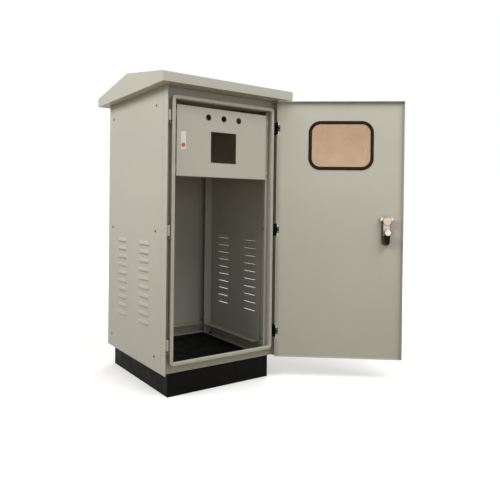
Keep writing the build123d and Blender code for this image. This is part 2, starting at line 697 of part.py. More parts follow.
def make_door_leaf(height):
    """Leaf flat on the inside of the door's skin, with the middle barrel at its end."""
    low = height - HINGE_MIDDLE_HEIGHT / 2
    high = height + HINGE_MIDDLE_HEIGHT / 2
    leaf = block((HINGE_X - DOOR_LEAF_WIDTH, DOOR_INNER, low), (HINGE_X, DOOR_INNER + HINGE_LEAF, high))
    leaf += rod_z(HINGE_BARREL_RADIUS, HINGE_X, HINGE_Y, low, HINGE_MIDDLE_HEIGHT)
    leaf -= rod_z(HINGE_PIN_RADIUS + HINGE_PIN_CLEARANCE, HINGE_X, HINGE_Y, low, HINGE_MIDDLE_HEIGHT)
    for dz in (-DOOR_STUD_SPACING / 2, DOOR_STUD_SPACING / 2):
        leaf -= rod_y(STUD_RADIUS + THREAD_CLEARANCE, HINGE_X - DOOR_STUD_INSET, DOOR_INNER, height + dz, HINGE_LEAF)
    return leaf


def make_hinge_pin(height):
    high = height + HINGE_HEIGHT / 2
    pin = rod_z(HINGE_PIN_RADIUS, HINGE_X, HINGE_Y, high - HINGE_HEIGHT, HINGE_HEIGHT)
    return pin + rod_z(HINGE_PIN_HEAD_RADIUS, HINGE_X, HINGE_Y, high, HINGE_PIN_HEAD_HEIGHT)


def stud_nut():
    """Small nut along +Z, seated at the origin."""
    nut = extrude(hexagon(STUD_HEX), amount=STUD_NUT_HEIGHT)
    return nut - rod_z(STUD_RADIUS + THREAD_CLEARANCE, 0, 0, 0, STUD_NUT_HEIGHT)


def make_frame_hinge_nuts():
    return [Pos(INNER_SIDE - HINGE_LEAF, HINGE_Y + FRAME_STUD_INSET, z + dz) * Rot(0, -90, 0) * stud_nut()
            for z in HINGE_HEIGHTS.values() for dz in (-FRAME_STUD_SPACING / 2, FRAME_STUD_SPACING / 2)]


def make_door_hinge_nuts():
    return [Pos(HINGE_X - DOOR_STUD_INSET, DOOR_INNER + HINGE_LEAF, z + dz) * Rot(-90, 0, 0) * stud_nut()
            for z in HINGE_HEIGHTS.values() for dz in (-DOOR_STUD_SPACING / 2, DOOR_STUD_SPACING / 2)]


def window_outline(inset):
    """Rounded outline of the window, set in from the rubber's outer edge."""
    width = WINDOW_WIDTH - 2 * inset
    height = WINDOW_HEIGHT - 2 * inset
    return Pos(WINDOW_X, WINDOW_HEIGHT_CENTRE) * RectangleRounded(width, height, WINDOW_RADIUS - inset)


def make_door():
    """Door pan with folded returns, window opening, hinge notches, hinge studs and lock holes."""
    rim = DOOR_OUTER + DOOR_RETURN
    pan = block((-DOOR_HALF_WIDTH, DOOR_OUTER, DOOR_BOTTOM), (DOOR_HALF_WIDTH, rim, DOOR_TOP))
    pan = fillet(pan.faces().sort_by(Axis.Y)[0].edges(), DOOR_FOLD_RADIUS)
    hollow = block((-DOOR_HALF_WIDTH + DOOR_SHEET, DOOR_INNER, DOOR_BOTTOM + DOOR_SHEET),
                   (DOOR_HALF_WIDTH - DOOR_SHEET, rim, DOOR_TOP - DOOR_SHEET))
    hollow = fillet(hollow.faces().sort_by(Axis.Y)[0].edges(), DOOR_FOLD_RADIUS - DOOR_SHEET)
    pan -= hollow
    pan -= along_y(window_outline(WINDOW_LAP), DOOR_OUTER, DOOR_INNER)
    stud = HINGE_LEAF + STUD_NUT_HEIGHT + STUD_SPARE
    for z in HINGE_HEIGHTS.values():
        reach = HINGE_HEIGHT / 2 + HINGE_NOTCH_SPARE
        pan -= block((HINGE_NOTCH_EDGE, DOOR_OUTER, z - reach), (DOOR_HALF_WIDTH, rim, z + reach))
        for dz in (-DOOR_STUD_SPACING / 2, DOOR_STUD_SPACING / 2):
            pan += rod_y(STUD_RADIUS, HINGE_X - DOOR_STUD_INSET, DOOR_INNER, z + dz, stud)
    pan -= rod_y(SPINDLE_RADIUS + LOCK_HOLE_CLEARANCE, LOCK_X, DOOR_OUTER, LOCK_Z, DOOR_SHEET)
    pan -= rod_y(KEY_RADIUS + LOCK_HOLE_CLEARANCE, LOCK_X, DOOR_OUTER, LOCK_Z + KEY_RISE, DOOR_SHEET)
    for x, z in lock_screw_places():
        pan -= rod_y(SCREW_RADIUS + SCREW_HOLE_CLEARANCE, x, DOOR_OUTER, z, DOOR_SHEET)
    return pan


def make_window_rubber():
    """Rubber profile that grips the door's skin outside and the pane inside."""
    ring = window_outline(0) - window_outline(WINDOW_BAND)
    half = WINDOW_RUBBER_DEPTH / 2
    rubber = along_y(ring, WINDOW_PLANE - half, WINDOW_PLANE + half)
    rims = rubber.faces().sort_by(Axis.Y)[0].edges() + rubber.faces().sort_by(Axis.Y)[-1].edges()
    rubber = chamfer(rims, WINDOW_RUBBER_EDGE)
    rubber -= along_y(window_outline(0) - window_outline(WINDOW_LAP), DOOR_OUTER, DOOR_INNER)
    return rubber - make_window_pane()


def make_window_pane():
    half = PANE_THICKNESS / 2
    return along_y(window_outline(WINDOW_BAND - WINDOW_LAP), WINDOW_PLANE - half, WINDOW_PLANE + half)


def lock_screw_places():
    z = LOCK_Z + BRIDGE_RISE + BRIDGE_HEIGHT / 2
    return [(LOCK_X + sx * BRIDGE_SCREW_SPACING / 2, z) for sx in (-1, 1)]


def lock_bores(radius, start, end):
    """The two bores of the lock, for the spindle and for the key plug."""
    key_end = min(end, ESCUTCHEON_FRONT - KEY_PROUD + KEY_DEPTH + LEVER_GAP)
    bores = rod_y(SPINDLE_RADIUS + radius, LOCK_X, start, LOCK_Z, end - start)
    if key_end > start:
        bores += rod_y(KEY_RADIUS + radius, LOCK_X, start, LOCK_Z + KEY_RISE, key_end - start)
    return bores


def make_lock_base():
    """Moulded base of the lock, rounded at both ends, on the inside of the door."""
    middle = LOCK_Z + (LOCK_BASE_RISE - LOCK_BASE_FALL) / 2
    outline = Pos(LOCK_X, middle) * SlotOverall(LOCK_BASE_RISE + LOCK_BASE_FALL, LOCK_BASE_WIDTH, rotation=90)
    base = along_y(outline, DOOR_INNER, LOCK_BASE_BACK)
    base = fillet(base.faces().sort_by(Axis.Y)[-1].edges(), LOCK_BASE_EDGE_RADIUS)
    return base - lock_bores(SPINDLE_CLEARANCE, DOOR_INNER, LOCK_BASE_BACK)


def make_lock_housing():
    """Die-cast body on the base: a block with a bridge, its round boss, a collar and two screw lugs."""
    half = HOUSING_WIDTH / 2
    depth = HOUSING_BACK - LOCK_BASE_BACK
    housing = block((LOCK_X - half, LOCK_BASE_BACK, LOCK_Z - HOUSING_FALL),
                    (LOCK_X + half, LOCK_BASE_BACK + HOUSING_DEPTH, LOCK_Z + HOUSING_RISE))
    housing = fillet(housing.edges().filter_by(Axis.Y), HOUSING_EDGE_RADIUS)
    low = LOCK_Z + BRIDGE_RISE
    bridge = block((LOCK_X - BRIDGE_WIDTH / 2, LOCK_BASE_BACK, low),
                   (LOCK_X + BRIDGE_WIDTH / 2, LOCK_BASE_BACK + BRIDGE_DEPTH, low + BRIDGE_HEIGHT))
    housing += fillet(bridge.edges().filter_by(Axis.Y), HOUSING_EDGE_RADIUS)
    boss_z = low + BRIDGE_HEIGHT - BRIDGE_BOSS_RADIUS
    housing += rod_y(BRIDGE_BOSS_RADIUS, LOCK_X, LOCK_BASE_BACK, boss_z, depth)
    housing += rod_y(HOUSING_COLLAR_RADIUS, LOCK_X, LOCK_BASE_BACK, LOCK_Z, depth)
    for x, z in lock_screw_places():
        housing += rod_y(BRIDGE_LUG_RADIUS, x, DOOR_INNER, z, LOCK_BASE_DEPTH)
        housing -= rod_y(SCREW_RADIUS + SCREW_HOLE_CLEARANCE, x, DOOR_INNER, z, LOCK_BASE_DEPTH + BRIDGE_DEPTH)
    return housing - lock_bores(SPINDLE_CLEARANCE, LOCK_BASE_BACK, HOUSING_BACK)


def make_lock_screws():
    """Screws through the bridge's lugs and the door's skin."""
    pieces = []
    length = LOCK_BASE_DEPTH + BRIDGE_DEPTH
    for x, z in lock_screw_places():
        head = rod_y(SCREW_HEAD_RADIUS * 0.8, x, DOOR_INNER + length, z, SCREW_HEAD_HEIGHT)
        pieces.append(head + rod_y(SCREW_RADIUS, x, DOOR_OUTER, z, length + DOOR_SHEET))
    return pieces


def make_escutcheon():
    """Outside plate of the handle, with the bores of the spindle and the key plug."""
    outline = Pos(LOCK_X, LOCK_Z + ESCUTCHEON_RISE) * SlotOverall(ESCUTCHEON_HEIGHT, ESCUTCHEON_WIDTH, rotation=90)
    plate = along_y(outline, ESCUTCHEON_FRONT, DOOR_OUTER)
    plate = fillet(plate.faces().sort_by(Axis.Y)[0].edges(), ESCUTCHEON_EDGE_RADIUS)
    plate -= rod_y(SPINDLE_RADIUS + SPINDLE_CLEARANCE, LOCK_X, ESCUTCHEON_FRONT, LOCK_Z, ESCUTCHEON_THICKNESS)
    return plate - rod_y(KEY_RADIUS + SPINDLE_CLEARANCE, LOCK_X, ESCUTCHEON_FRONT, LOCK_Z + KEY_RISE, ESCUTCHEON_THICKNESS)


def make_lever():
    """Outside lever: a round boss and a flat arm towards the hinges, the unlatched position."""
    seat = ESCUTCHEON_FRONT - LEVER_GAP
    outer = seat - LEVER_BOSS_HEIGHT
    boss = rod_y(LEVER_BOSS_RADIUS, LOCK_X, outer, LOCK_Z, LEVER_BOSS_HEIGHT)
    centre = LOCK_X - DOOR_FREE_SIDE * (LEVER_LENGTH - LEVER_WIDTH) / 2
    arm = along_y(Pos(centre, LOCK_Z) * SlotOverall(LEVER_LENGTH, LEVER_WIDTH), outer, outer + LEVER_THICKNESS)
    lever = boss + arm
    return fillet(lever.faces().sort_by(Axis.Y)[0].edges(), LEVER_EDGE_RADIUS)


def make_spindle():
    start = ESCUTCHEON_FRONT - LEVER_GAP
    end = CAM_BACK + CAM_WASHER_HEIGHT + SPINDLE_NUT_HEIGHT + SPINDLE_SPARE
    return rod_y(SPINDLE_RADIUS, LOCK_X, start, LOCK_Z, end - start)


def make_cam():
    """Flat cam, round at the spindle and narrower at the tip, hanging down unlatched."""
    head = Pos(LOCK_X, LOCK_Z) * Circle(CAM_WIDTH / 2)
    tip = Pos(LOCK_X, LOCK_Z - CAM_LENGTH + CAM_TIP_RADIUS) * Circle(CAM_TIP_RADIUS)
    cam = along_y(make_hull((head + tip).edges()), CAM_FRONT, CAM_BACK)
    return cam - rod_y(SPINDLE_RADIUS + THREAD_CLEARANCE, LOCK_X, CAM_FRONT, LOCK_Z, CAM_THICKNESS)


def make_spindle_nut():
    """Hexagon nut with its broad washer."""
    washer_back = CAM_BACK + CAM_WASHER_HEIGHT
    nut = rod_y(CAM_WASHER_RADIUS, LOCK_X, CAM_BACK, LOCK_Z, CAM_WASHER_HEIGHT)
    nut += along_y(Pos(LOCK_X, LOCK_Z) * hexagon(SPINDLE_NUT_HEX), washer_back, washer_back + SPINDLE_NUT_HEIGHT)
    length = CAM_WASHER_HEIGHT + SPINDLE_NUT_HEIGHT
    return nut - rod_y(SPINDLE_RADIUS + THREAD_CLEARANCE, LOCK_X, CAM_BACK, LOCK_Z, length)


def make_key_plug():
    """Key plug with its key slot upright."""
    start = ESCUTCHEON_FRONT - KEY_PROUD
    z = LOCK_Z + KEY_RISE
    plug = rod_y(KEY_RADIUS, LOCK_X, start, z, KEY_DEPTH)
    half = KEY_SLOT_WIDTH / 2
    reach = KEY_SLOT_LENGTH / 2
    return plug - block((LOCK_X - half, start, z - reach), (LOCK_X + half, start + KEY_SLOT_DEPTH, z + reach))


def cabinet_pieces():
    """Every piece that stays with the body, by node name."""
    top_low = INNER_TOP - RAIL_HEIGHT
    front_post = make_front_post()
    rear_post = make_rear_post()
    side_panel = make_side_panel()
    canopy_end = make_canopy_end()
    pieces = {
        "plinth": make_plinth(),
        "floor_plate": make_floor_plate(),
        "plinth_bolts": make_plinth_bolts(),
        "plinth_nuts": make_plinth_nuts(),
        "post_front_right": front_post,
        "post_front_left": mirrored(front_post),
        "post_rear_right": rear_post,
        "post_rear_left": mirrored(rear_post),
        "door_frame": make_door_frame(),
        "frame_seal": make_frame_seal(),
        "side_panel_right": side_panel,
        "side_panel_left": mirrored(side_panel),
        "rear_panel": make_rear_panel(),
        "panel_screws": make_panel_screws(),
        "roof_panel": make_roof_panel(),
        "canopy": make_canopy(),
        "canopy_end_right": canopy_end,
        "canopy_end_left": mirrored(canopy_end),
        "canopy_bolts": make_canopy_bolts(),
        "canopy_nuts": make_canopy_nuts(),
        "instrument_panel": make_instrument_panel(),
        "instrument_panel_screws": make_instrument_panel_screws(),
        "panel_label": make_panel_label(),
        "hinge_nuts_frame": make_frame_hinge_nuts(),
    }
    for level, low, front_height in (("bottom", BASE, SILL_RAIL_HEIGHT), ("top", top_low, RAIL_HEIGHT)):
        side_rail = make_side_rail(low)
        pieces[f"{level}_rail_right"] = side_rail
        pieces[f"{level}_rail_left"] = mirrored(side_rail)
        pieces[f"{level}_rail_front"] = make_front_rail(low, front_height)
        pieces[f"{level}_rail_rear"] = make_rear_rail(low)
    for name, height in HINGE_HEIGHTS.items():
        pieces[f"hinge_cover_{name}"] = make_hinge_cover(height)
        pieces[f"hinge_leaf_frame_{name}"] = make_frame_leaf(height)
        pieces[f"hinge_pin_{name}"] = make_hinge_pin(height)
    return pieces


def door_pieces():
    """Every piece that swings with the door, modelled with the door shut, by node name."""
    pieces = {
        "door": make_door(),
        "window_rubber": make_window_rubber(),
        "window_pane": make_window_pane(),
        "lock_base": make_lock_base(),
        "lock_housing": make_lock_housing(),
        "lock_screws": make_lock_screws(),
        "lock_escutcheon": make_escutcheon(),
        "handle_lever": make_lever(),
        "lock_spindle": make_spindle(),
        "lock_cam": make_cam(),
        "spindle_nut": make_spindle_nut(),
        "key_plug": make_key_plug(),
        "hinge_nuts_door": make_door_hinge_nuts(),
    }
    for name, height in HINGE_HEIGHTS.items():
        pieces[f"hinge_leaf_door_{name}"] = make_door_leaf(height)
    return pieces


def as_one(piece):
    """A group of separate solids as one shape, or the single solid itself."""
    return Compound(children=piece) if isinstance(piece, list) else piece


os.makedirs("parts", exist_ok=True)
for name, piece in cabinet_pieces().items():
    export_step(as_one(piece), f"parts/{name}.step")
for name, piece in door_pieces().items():
    export_step(opened(as_one(piece)), f"parts/{name}.step")
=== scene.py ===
import json
import math

import bmesh
import bpy
from mathutils import Matrix, Vector


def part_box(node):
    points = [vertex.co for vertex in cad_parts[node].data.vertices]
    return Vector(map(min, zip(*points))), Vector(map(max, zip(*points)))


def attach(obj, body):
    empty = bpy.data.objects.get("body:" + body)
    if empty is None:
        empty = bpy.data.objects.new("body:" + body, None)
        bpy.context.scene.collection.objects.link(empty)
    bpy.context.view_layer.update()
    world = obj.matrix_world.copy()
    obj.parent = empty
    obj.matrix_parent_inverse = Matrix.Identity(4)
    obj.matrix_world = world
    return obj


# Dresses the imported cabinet: materials, small details, floor, light and camera.
# Metres, +Z up, front towards -Y.

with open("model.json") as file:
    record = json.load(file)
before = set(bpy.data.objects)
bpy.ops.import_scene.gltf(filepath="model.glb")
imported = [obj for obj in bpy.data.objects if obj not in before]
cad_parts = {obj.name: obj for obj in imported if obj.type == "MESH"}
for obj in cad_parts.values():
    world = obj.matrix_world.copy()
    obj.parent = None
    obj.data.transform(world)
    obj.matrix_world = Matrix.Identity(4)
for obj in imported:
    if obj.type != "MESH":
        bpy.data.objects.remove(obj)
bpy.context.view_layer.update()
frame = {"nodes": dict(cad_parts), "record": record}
NODES = frame["nodes"]

# Camera, solved from the straight edges of the photograph, for an image of 500 by 500 pixels
IMAGE = 500.0
FOCAL_PIXELS = 517.17
CENTRE_PIXELS = (208.88, 209.39)
CAMERA_PLACE = Vector((-1.32659, -2.20732, 0.81814))
CAMERA_YAW = math.radians(33.078)
CAMERA_PITCH = math.radians(-0.4535)
CAMERA_ROLL = math.radians(0.6625)
SENSOR = 36.0
FAR_CLIP = 50.0


def make_camera():
    """The photograph's camera, off-centre by the shift of its principal point."""
    yaw, pitch, roll = CAMERA_YAW, CAMERA_PITCH, CAMERA_ROLL
    ahead = Vector((math.sin(yaw) * math.cos(pitch), math.cos(yaw) * math.cos(pitch), math.sin(pitch)))
    right = Vector((math.cos(yaw), -math.sin(yaw), 0.0))
    up = right.cross(ahead)
    right, up = (math.cos(roll) * right + math.sin(roll) * up,
                 math.cos(roll) * up - math.sin(roll) * right)
    data = bpy.data.cameras.new("camera")
    data.sensor_width = SENSOR
    data.lens = FOCAL_PIXELS / IMAGE * SENSOR
    data.shift_x = (IMAGE / 2 - CENTRE_PIXELS[0]) / IMAGE
    data.shift_y = (CENTRE_PIXELS[1] - IMAGE / 2) / IMAGE
    data.clip_end = FAR_CLIP
    camera = bpy.data.objects.new("camera", data)
    bpy.context.scene.collection.objects.link(camera)
    turn = Matrix((right, up, -ahead)).transposed().to_4x4()
    camera.matrix_world = Matrix.Translation(CAMERA_PLACE) @ turn
    bpy.context.scene.camera = camera


# Materials

RANGE_SOCKETS = ("From Min", "From Max", "To Min", "To Max")
OCCLUSION_SAMPLES = 4
# Sockets of the mix node's colour form
MIX_FACTOR, MIX_FIRST, MIX_SECOND, MIX_RESULT = 0, 6, 7, 2


class Shader:
    """A node material under construction, with short calls for the nodes it uses."""

    def __init__(self, name):
        self.material = bpy.data.materials.new(name)
        self.material.use_nodes = True
        self.nodes = self.material.node_tree.nodes
        self.links = self.material.node_tree.links
        self.nodes.clear()
        self.output = self.nodes.new("ShaderNodeOutputMaterial")
        self.surface = self.nodes.new("ShaderNodeBsdfPrincipled")
        self.links.new(self.surface.outputs["BSDF"], self.output.inputs["Surface"])
        self.place = self.nodes.new("ShaderNodeTexCoord").outputs["Object"]

    def put(self, value, socket):
        """Links a socket or sets a plain value."""
        if isinstance(value, bpy.types.NodeSocket):
            self.links.new(value, socket)
        else:
            socket.default_value = value

    def stretched(self, scale):
        """The object's coordinates, scaled by axis."""
        node = self.nodes.new("ShaderNodeMapping")
        self.put(self.place, node.inputs["Vector"])
        node.inputs["Scale"].default_value = scale
        return node.outputs["Vector"]

    def noise(self, scale, detail=2.0, roughness=0.5, vector=None):
        """Noise with about this many features per metre, or per unit of a stretched vector."""
        node = self.nodes.new("ShaderNodeTexNoise")
        self.put(vector or self.place, node.inputs["Vector"])
        node.inputs["Scale"].default_value = scale
        node.inputs["Detail"].default_value = detail
        node.inputs["Roughness"].default_value = roughness
        return node.outputs["Fac"]

    def cells(self, scale):
        """Distance to the nearest cell centre, for crystals."""
        node = self.nodes.new("ShaderNodeTexVoronoi")
        self.put(self.place, node.inputs["Vector"])
        node.inputs["Scale"].default_value = scale
        return node.outputs["Distance"]

    def ranged(self, value, low, high, out_low, out_high):
        """A value between low and high, mapped to the output range and held inside it."""
        node = self.nodes.new("ShaderNodeMapRange")
        node.clamp = True
        for socket, number in zip(RANGE_SOCKETS, (low, high, out_low, out_high)):
            node.inputs[socket].default_value = number
        self.put(value, node.inputs["Value"])
        return node.outputs["Result"]

    def mixed(self, factor, first, second):
        """A colour between two, by a factor."""
        node = self.nodes.new("ShaderNodeMix")
        node.data_type = "RGBA"
        self.put(factor, node.inputs[MIX_FACTOR])
        self.put(first, node.inputs[MIX_FIRST])
        self.put(second, node.inputs[MIX_SECOND])
        return node.outputs[MIX_RESULT]

    def height(self):
        """Height above the floor in metres."""
        node = self.nodes.new("ShaderNodeSeparateXYZ")
        self.put(self.place, node.inputs[0])
        return node.outputs["Z"]

    def corners(self, distance):
        """1 in the open, less in corners and seams."""
        node = self.nodes.new("ShaderNodeAmbientOcclusion")
        node.samples = OCCLUSION_SAMPLES
        node.inputs["Distance"].default_value = distance
        return node.outputs["AO"]

    def bump(self, height, distance, strength):
        """Relief of the surface; the distance is in metres."""
        node = self.nodes.new("ShaderNodeBump")
        node.inputs["Strength"].default_value = strength
        node.inputs["Distance"].default_value = distance
        self.put(height, node.inputs["Height"])
        self.links.new(node.outputs["Normal"], self.surface.inputs["Normal"])

    def finish(self, color, roughness, **sockets):
        """Sets the shader's colour, roughness and any socket named with _ for its spaces."""
        self.put(color, self.surface.inputs["Base Color"])
        self.put(roughness, self.surface.inputs["Roughness"])
        for socket, value in sockets.items():
            self.put(value, self.surface.inputs[socket.replace("_", " ")])
        return self.material


def tone(color, factor):
    """A colour made lighter or darker, with full alpha."""
    return tuple(min(1.0, c * factor) for c in color) + (1.0,)


def shaded(color, red, green, blue):
    """A colour with each channel scaled, with full alpha."""
    return (color[0] * red, color[1] * green, color[2] * blue, 1.0)


def powder_coat(name, color):
    """Sprayed and baked paint: fine orange peel, slow tone drift, painted shade in the corners and painted
    shade towards the bottom.
    """
    gloss, peel_depth, corner_shade_reach, low_shade_foot, low_shade_top = 0.42, 0.00006, 0.026, 0.1, 0.95
    s = Shader(name)
    drift = s.ranged(s.noise(2.3, 3.0), 0.3, 0.7, 0.0, 1.0)
    base = s.mixed(drift, tone(color, 0.955), tone(color, 1.03))
    smudge = s.ranged(s.noise(9.0, 5.0, 0.65), 0.56, 0.74, 0.0, 0.35)
    base = s.mixed(smudge, base, shaded(color, 0.9, 0.885, 0.84))
    # Painted shade: the paint is darker in corners, seams and recesses, from ambient occlusion
    corner_shade = s.ranged(s.corners(corner_shade_reach), 0.3, 0.85, 0.5, 0.0)
    base = s.mixed(corner_shade, base, shaded(color, 0.5, 0.46, 0.38))
    # Painted shade: the paint is darker towards the bottom
    low_shade = s.ranged(s.height(), low_shade_foot, low_shade_top, 0.4, 0.0)
    base = s.mixed(low_shade, base, shaded(color, 0.62, 0.63, 0.6))
    s.bump(s.noise(650.0, 2.0, 0.55), peel_depth, 0.6)
    roughness = s.ranged(s.noise(30.0, 4.0), 0.3, 0.7, gloss - 0.05, gloss + 0.09)
    return s.finish(base, roughness, Specular_IOR_Level=0.4)


def black_paint(name, color, gloss=0.45):
    """Black paint with dry dust on it and a few rubbed marks."""
    dust_color, rubbed_color, relief = (0.011, 0.0105, 0.009, 1.0), (0.024, 0.023, 0.02, 1.0), 0.00008
    s = Shader(name)
    dusty = s.ranged(s.noise(14.0, 6.0, 0.7), 0.5, 0.78, 0.0, 0.5)
    base = s.mixed(dusty, tone(color, 1.0), dust_color)
    rubbed = s.ranged(s.noise(1.0, 3.0, 0.6, s.stretched((6.0, 6.0, 90.0))), 0.62, 0.8, 0.0, 0.3)
    base = s.mixed(rubbed, base, rubbed_color)
    s.bump(s.noise(420.0, 2.0), relief, 0.6)
    roughness = s.ranged(s.noise(25.0, 4.0), 0.3, 0.7, gloss - 0.08, gloss + 0.12)
    return s.finish(base, roughness, Specular_IOR_Level=0.05)


def zinc(name):
    """Zinc plating with faint crystals, stains, and painted shade in its corners."""
    dark, bright = (0.56, 0.52, 0.43, 1.0), (0.68, 0.64, 0.54, 1.0)
    stain_color, recess_shade_color = (0.5, 0.44, 0.33, 1.0), (0.3, 0.235, 0.165, 1.0)
    recess_shade_reach, relief = 0.005, 0.00003
    s = Shader(name)
    base = s.mixed(s.ranged(s.cells(320.0), 0.1, 0.6, 0.3, 0.8), dark, bright)
    stain = s.ranged(s.noise(160.0, 4.0, 0.6), 0.55, 0.8, 0.0, 0.6)
    base = s.mixed(stain, base, stain_color)
    # Painted shade: the plating is darker in its corners, from ambient occlusion
    recess_shade = s.ranged(s.corners(recess_shade_reach), 0.3, 0.9, 0.6, 0.0)
    base = s.mixed(recess_shade, base, recess_shade_color)
    s.bump(s.noise(1500.0, 3.0), relief, 0.5)
    return s.finish(base, s.ranged(s.noise(300.0), 0.3, 0.7, 0.26, 0.42), Metallic=0.95)


def casting(name):
    """Plain zinc-alloy casting: fine pebbled skin, satin, with painted shade in its corners."""
    dark, bright, recess_shade_color = (0.49, 0.41, 0.325, 1.0), (0.54, 0.455, 0.365, 1.0), (0.2, 0.17, 0.14, 1.0)
    recess_shade_reach, relief = 0.011, 0.00009
    s = Shader(name)
    base = s.mixed(s.ranged(s.noise(60.0, 4.0), 0.35, 0.65, 0.0, 1.0), dark, bright)
    # Painted shade: the casting is darker in its corners and recesses, from ambient occlusion
    recess_shade = s.ranged(s.corners(recess_shade_reach), 0.3, 0.9, 0.75, 0.0)
    base = s.mixed(recess_shade, base, recess_shade_color)
    s.bump(s.noise(900.0, 4.0, 0.6), relief, 0.7)
    return s.finish(base, s.ranged(s.noise(200.0, 3.0), 0.3, 0.7, 0.32, 0.5), Metallic=0.85)


def rubber(name, color, bloom_tone):
    """Extruded rubber with a chalky bloom in patches and a fine grain."""
    gloss, relief = 0.6, 0.00006
    s = Shader(name)
    bloom = s.ranged(s.noise(22.0, 5.0, 0.65), 0.42, 0.72, 0.0, 1.0)
    base = s.mixed(bloom, tone(color, 0.93), tone(color, bloom_tone))
    s.bump(s.noise(900.0, 3.0, 0.6), relief, 0.6)
    roughness = s.ranged(s.noise(60.0, 3.0), 0.3, 0.7, gloss - 0.08, gloss + 0.12)
    return s.finish(base, roughness, Specular_IOR_Level=0.12)


def filmed_pane(name):
    """Clear plastic under its tan paper film, with soft blotches, pale fibres and faint creases."""
    dark, bright, fibre_color = (0.395, 0.245, 0.145, 1.0), (0.475, 0.31, 0.185, 1.0), (0.56, 0.4, 0.27, 1.0)
    crease_depth = 0.0002
    s = Shader(name)
    base = s.mixed(s.ranged(s.noise(7.0, 4.0, 0.6), 0.34, 0.66, 0.0, 1.0), dark, bright)
    fibre = s.ranged(s.noise(1.0, 4.0, 0.6, s.stretched((70.0, 70.0, 240.0))), 0.4, 0.7, 0.0, 0.3)
    base = s.mixed(fibre, base, fibre_color)
    s.bump(s.noise(1.0, 4.0, 0.6, s.stretched((60.0, 60.0, 200.0))), crease_depth, 0.5)
    roughness = s.ranged(s.noise(40.0, 3.0), 0.3, 0.7, 0.24, 0.4)
    return s.finish(base, roughness, Coat_Weight=0.3, Coat_Roughness=0.12)


def moulded(name, color):
    """Moulded plastic with a fine grain."""
    relief = 0.00004
    s = Shader(name)
    base = s.mixed(s.ranged(s.noise(18.0, 3.0), 0.3, 0.7, 0.0, 1.0), tone(color, 0.94), tone(color, 1.03))
    s.bump(s.noise(1100.0, 2.0), relief, 0.5)
    return s.finish(base, s.ranged(s.noise(80.0), 0.3, 0.7, 0.42, 0.56))


PAINT = (0.472, 0.468, 0.412)
BLACK = (0.0045, 0.0045, 0.004)
MATERIALS = {
    "cabinet_paint": powder_coat("cabinet_paint", PAINT),
    "plinth_paint": black_paint("plinth_paint", BLACK),
    "black_steel": black_paint("black_steel", (0.01, 0.009, 0.008), 0.38),
    "browned_steel": black_paint("browned_steel", (0.085, 0.066, 0.045), 0.4),
    "handle_paint": black_paint("handle_paint", (0.012, 0.012, 0.012), 0.34),
    "zinc_plated_steel": zinc("zinc_plated_steel"),
    "die_cast": casting("die_cast"),
    "grey_rubber": rubber("grey_rubber", (0.46, 0.46, 0.4), 1.06),
    "black_rubber": rubber("black_rubber", (0.009, 0.006, 0.004), 1.5),
    "filmed_pane": filmed_pane("filmed_pane"),
    "lock_plastic": moulded("lock_plastic", (0.036, 0.034, 0.03)),
    "label_plastic": moulded("label_plastic", (0.72, 0.72, 0.68)),
    "red_spot": moulded("red_spot", (0.55, 0.1, 0.075)),
    "cover_plastic": moulded("cover_plastic", (0.42, 0.41, 0.35)),
}


def dress_nodes():
    """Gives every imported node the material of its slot; the panel screws are browned."""
    slots = {row["node"]: row["material_slot"] for row in frame["record"]["subparts"]}
    for name, node in NODES.items():
        node.data.materials.clear()
        node.data.materials.append(MATERIALS[slots[name]])
    screws = NODES["panel_screws"].data.materials
    screws.clear()
    screws.append(MATERIALS["browned_steel"])


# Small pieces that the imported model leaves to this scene

def piece(name, build, material, body):
    """A new object from a call that builds its mesh, on a body, with a slot of the record."""
    bm = bmesh.new()
    build(bm)
    bmesh.ops.recalc_face_normals(bm, faces=bm.faces)
    mesh = bpy.data.meshes.new(name)
    bm.to_mesh(mesh)
    bm.free()
    for polygon in mesh.polygons:
        polygon.use_smooth = True
    made = bpy.data.objects.new(name, mesh)
    bpy.context.scene.collection.objects.link(made)
    mesh.materials.append(material)
    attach(made, body)


def turned(bm, centre, profile):
    """A form turned about the Y axis; the profile's pairs are radius and distance towards the front."""
    steps = 40
    angles = [2 * math.pi * i / steps for i in range(steps)]
    x, y, z = centre
    rings = []
    for radius, reach in profile:
        if radius == 0.0:
            rings.append([bm.verts.new((x, y - reach, z))])
            continue
        ring = [(x + radius * math.cos(a), y - reach, z + radius * math.sin(a)) for a in angles]
        rings.append([bm.verts.new(point) for point in ring])
    for first, second in zip(rings, rings[1:]):
        for i in range(steps):
            j = (i + 1) % steps
            if len(second) == 1:
                bm.faces.new((first[i], first[j], second[0]))
            elif len(first) == 1:
                bm.faces.new((first[0], second[j], second[i]))
            else:
                bm.faces.new((first[i], first[j], second[j], second[i]))


def make_red_spot():
    """Plain red spot, slightly domed, near the foot of the white label and just sunk in its face."""
    sunk, above_foot = 0.0001, 0.021
    profile = [(0.0, 0.0), (0.0095, 0.0), (0.0095, 0.0005), (0.0091, 0.0009), (0.006, 0.0012), (0.0, 0.0014)]
    low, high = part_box("panel_label")
    centre = ((low[0] + high[0]) / 2, low[1] + sunk, low[2] + above_foot)
    piece("red_spot", lambda bm: turned(bm, centre, profile),
          MATERIALS["red_spot"], "cabinet")


def sheet(bm, low, high, edge):
    """A flat sheet between two corners, with its edges broken."""
    made = bmesh.ops.create_cube(bm, size=1.0)
    for vert in made["verts"]:
        vert.co = [near + (unit + 0.5) * (far - near) for unit, near, far in zip(vert.co, low, high)]
    bmesh.ops.bevel(bm, geom=list(bm.edges), offset=edge, segments=2, affect="EDGES", clamp_overlap=True)


